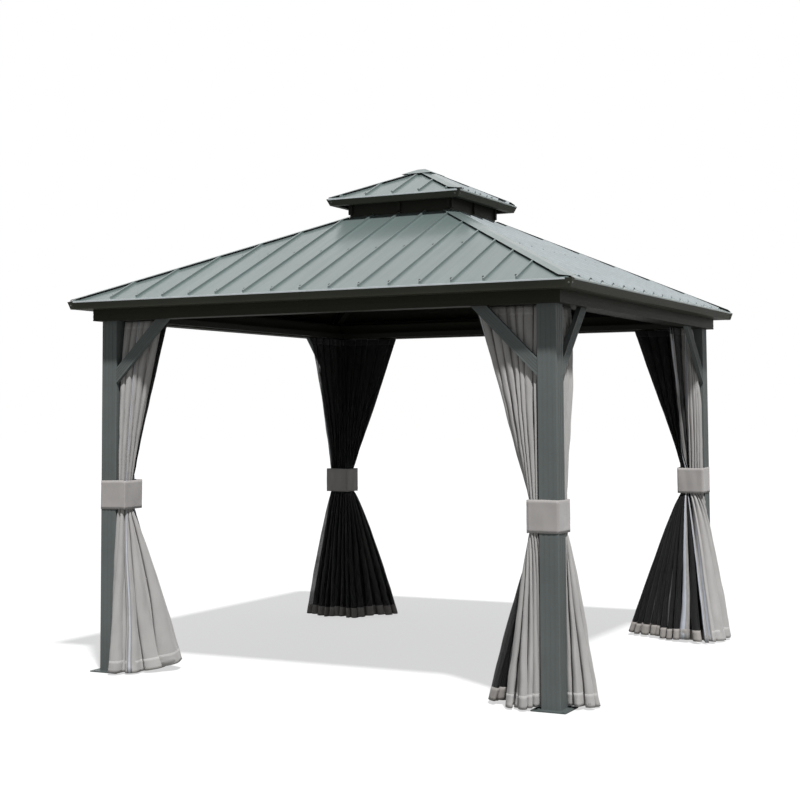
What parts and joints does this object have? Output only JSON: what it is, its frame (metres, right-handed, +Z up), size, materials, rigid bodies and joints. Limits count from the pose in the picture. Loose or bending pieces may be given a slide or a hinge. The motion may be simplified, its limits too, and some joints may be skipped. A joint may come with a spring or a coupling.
{
  "type": "metal gazebo",
  "caption": "Square hardtop gazebo with a two-tier hipped standing-seam roof on corner posts with knee braces, and curtains and nets tied back at the posts.",
  "frame": {"origin": "on the ground at the centre of the plan, level with the undersides of the foot plates", "axes": "+Z up, -Y out through the front side, +X to the right seen from the front"},
  "size_m": [3.003, 3.003, 2.9016],
  "materials": {
    "post_coat": "satin slate-grey powder coat",
    "dark_coat": "satin dark charcoal powder coat",
    "frame_coat": "satin charcoal powder coat",
    "roof_coat": "semi-gloss sage-grey coated sheet",
    "foot_coat": "pale grey-green coat",
    "rail_coat": "satin charcoal powder coat",
    "curtain_cloth": "matt woven polyester",
    "net_mesh": "fine black mesh with grey hems",
    "band_cloth": "matt woven polyester"
  },
  "bodies": {
    "root": {"beam_back": "dark_coat", "beam_front": "dark_coat", "beam_left": "dark_coat", "beam_right": "dark_coat", "curtain_back_left": "curtain_cloth", "curtain_back_right": "curtain_cloth", "curtain_front_left": "curtain_cloth", "curtain_front_right": "curtain_cloth", "curtain_rails": "rail_coat", "foot_plates": "foot_coat", "gutter_back": "dark_coat", "gutter_corners": "dark_coat", "gutter_front": "dark_coat", "gutter_left": "dark_coat", "gutter_right": "dark_coat", "hip_caps": "roof_coat", "hip_rafters": "frame_coat", "knee_braces": "post_coat", "net_back_left": "net_mesh", "net_back_right": "net_mesh", "net_front_left": "net_mesh", "net_front_right": "net_mesh", "peak_cap": "roof_coat", "peak_hub": "frame_coat", "post_back_left": "post_coat", "post_back_right": "post_coat", "post_front_left": "post_coat", "post_front_right": "post_coat", "purlins": "frame_coat", "roof_ring": "frame_coat", "roof_sheet_back": "roof_coat", "roof_sheet_front": "roof_coat", "roof_sheet_left": "roof_coat", "roof_sheet_right": "roof_coat", "side_rafters": "frame_coat", "tie_band_back_left": "band_cloth", "tie_band_back_right": "band_cloth", "tie_band_front_left": "band_cloth", "tie_band_front_right": "band_cloth", "upper_fascia": "dark_coat", "upper_hip_caps": "roof_coat", "upper_rafters": "frame_coat", "upper_sheets": "roof_coat", "vent_collar": "dark_coat", "vent_struts": "dark_coat"}
  },
  "joints": []
}
